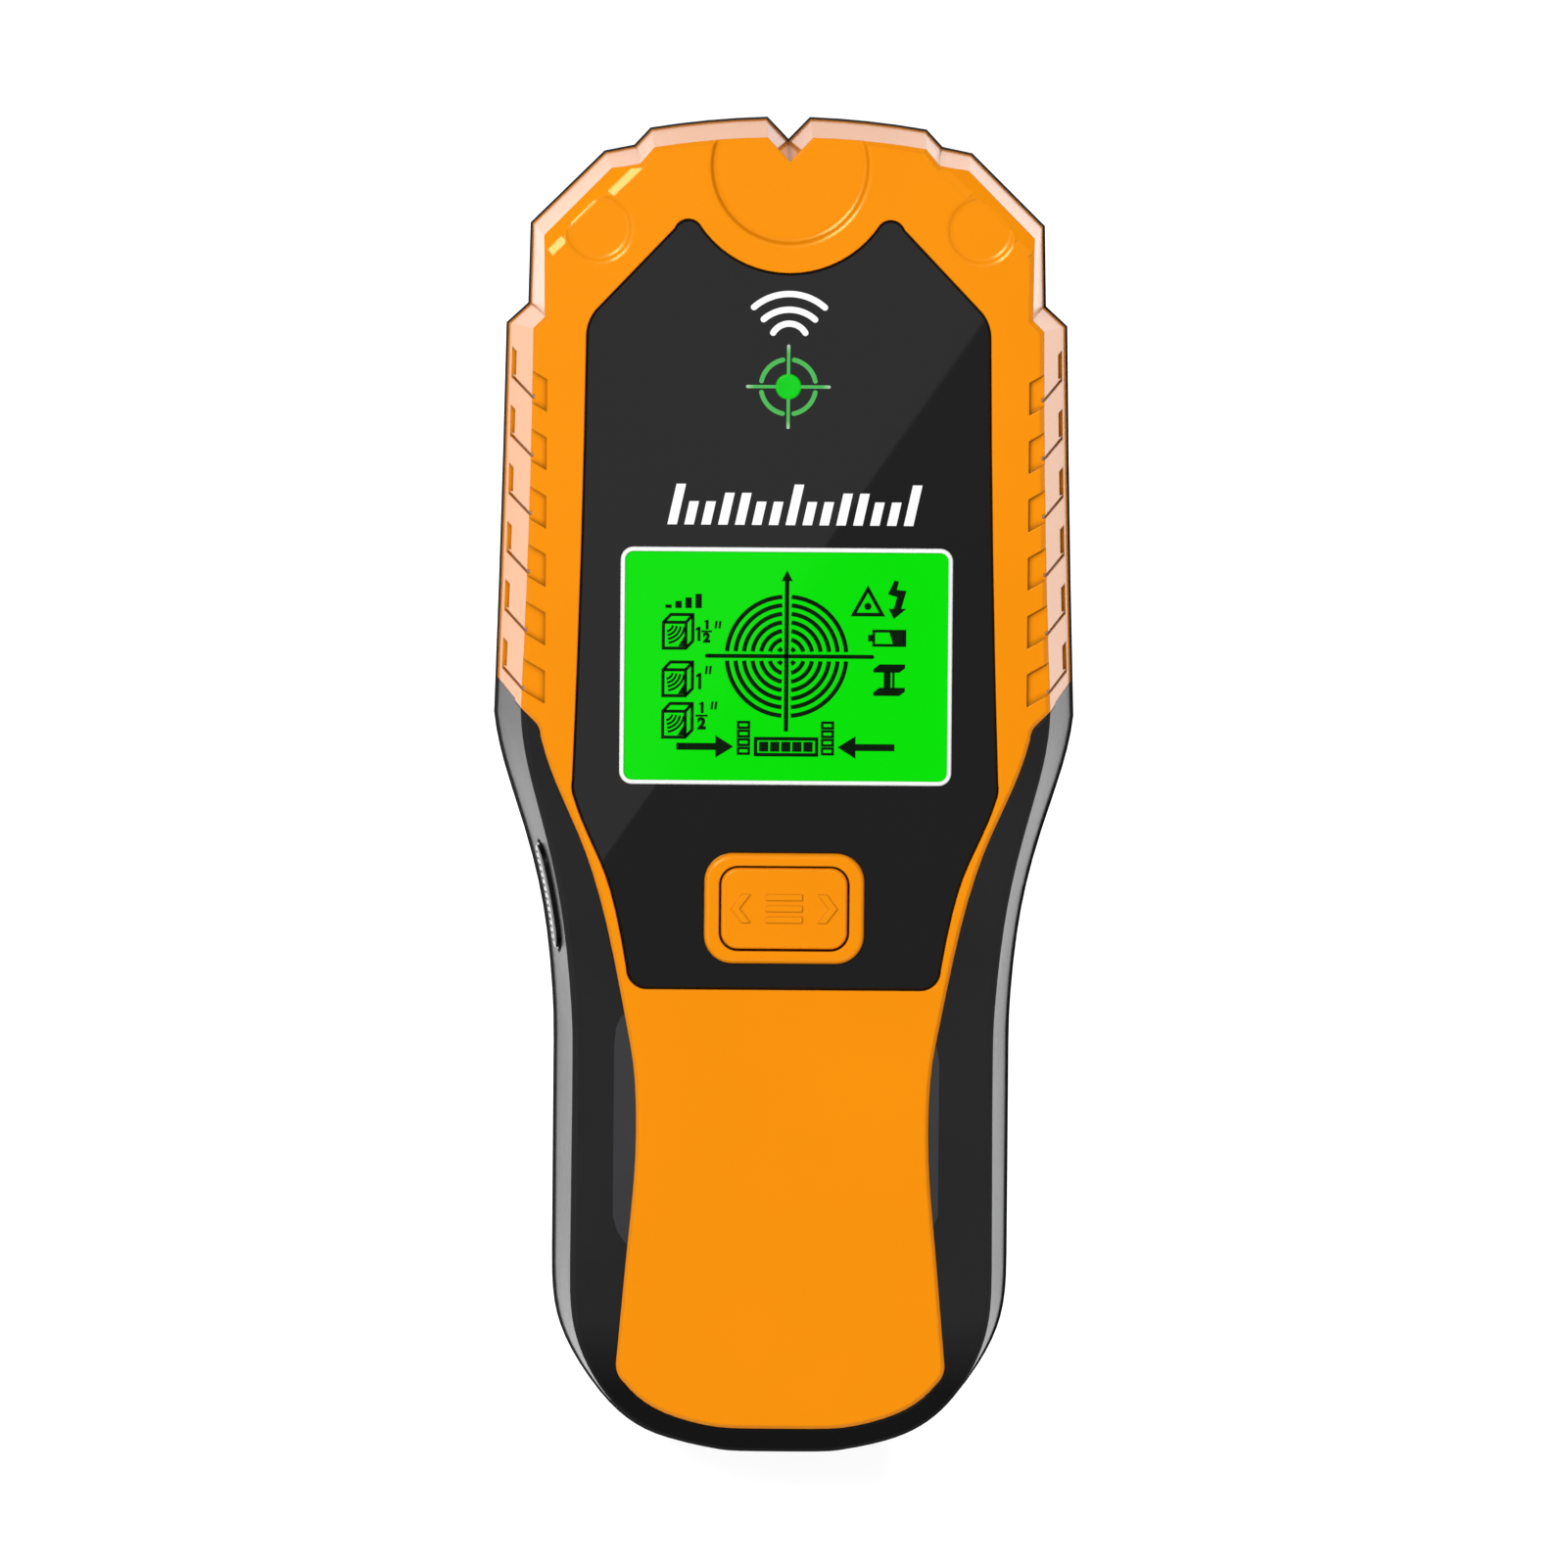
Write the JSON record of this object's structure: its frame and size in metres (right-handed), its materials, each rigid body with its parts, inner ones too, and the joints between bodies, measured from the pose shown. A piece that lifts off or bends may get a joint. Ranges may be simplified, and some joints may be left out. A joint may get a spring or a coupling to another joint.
{
  "type": "stud finder",
  "caption": "Hand-held stud finder with an orange front, a black rubber grip, a green display, a sprung mode key, a sprung side button and a sliding battery door.",
  "frame": {"origin": "centre of the bounding box's bottom, on the surface that the object lies on", "axes": "+Y along the length towards the V notch, +Z out of the display, +X across to the right as the display is read"},
  "size_m": [0.0672, 0.1548, 0.029],
  "materials": {
    "orange_shell": "semi-gloss moulded orange",
    "orange_key": "semi-gloss moulded orange",
    "black_rubber": "satin moulded rubber",
    "black_shell": "fine spark texture",
    "felt": "short felt",
    "gloss_panel": "high gloss black",
    "white_frame": "satin white",
    "green_display": "lit green display",
    "clear_guide": "milky clear",
    "strip_rubber": "soft",
    "green_light": "clear green",
    "switch_plunger": "moulded",
    "switch_metal": "stamped",
    "grey_button": "ribbed, worn pale on its ridges",
    "circuit_board": "solder mask",
    "copper": "bare copper",
    "nylon": "natural nylon",
    "steel": "zinc plated",
    "pin_metal": "plated",
    "ferrite": "pressed",
    "chip_black": "moulded",
    "can_metal": "drawn",
    "battery_case": "satin wrap",
    "foam": "open-cell foam",
    "red_wire": "insulated wire",
    "black_wire": "insulated wire"
  },
  "bodies": {
    "housing": {"front_shell": "orange_shell", "grip_overmold": "black_rubber", "rear_shell": "black_shell", "glide_pads": "felt", "display_panel": "gloss_panel", "lcd_frame": "white_frame", "lcd_glass": "green_display", "lcd_light_guide": "clear_guide", "lcd_contact_strips": "strip_rubber", "target_light_pipe": "green_light", "target_lamp": "green_light", "mode_switch_body": "switch_metal", "side_switch_body": "switch_metal", "main_board": "circuit_board", "sensor_board": "circuit_board", "sensor_plate_centre": "copper", "sensor_plate_right": "copper", "sensor_plate_left": "copper", "board_spacers": "nylon", "board_screws": "steel", "case_screws": "steel", "board_header": "pin_metal", "sensor_coil_core": "ferrite", "sensor_coil": "copper", "main_chip": "chip_black", "small_chips": "chip_black", "capacitors": "can_metal", "crystal": "can_metal", "buzzer": "chip_black", "battery": "battery_case", "battery_terminals": "steel", "battery_snap": "chip_black", "battery_foam": "foam", "battery_lead_red": "red_wire", "battery_lead_black": "black_wire"},
    "mode_key": {"mode_key": "orange_key", "mode_switch_plunger": "switch_plunger"},
    "side_button": {"side_button": "grey_button", "side_switch_plunger": "switch_plunger"},
    "battery_door": {"battery_door": "black_shell"}
  },
  "joints": [
    {"name": "mode_key_press", "type": "slide", "parent": "housing", "child": "mode_key", "axis": [0, 0, -1], "range_m": [0, 0.0006], "stiffness_N_per_m": 1500, "springref_m": -0.0004},
    {"name": "side_button_press", "type": "slide", "parent": "housing", "child": "side_button", "axis": [0.9792, 0.2028, 0], "range_m": [0, 0.0007], "stiffness_N_per_m": 1500, "springref_m": -0.0004},
    {"name": "battery_door_slide", "type": "slide", "parent": "housing", "child": "battery_door", "axis": [0, -1, 0], "range_m": [0, 0.058]}
  ]
}
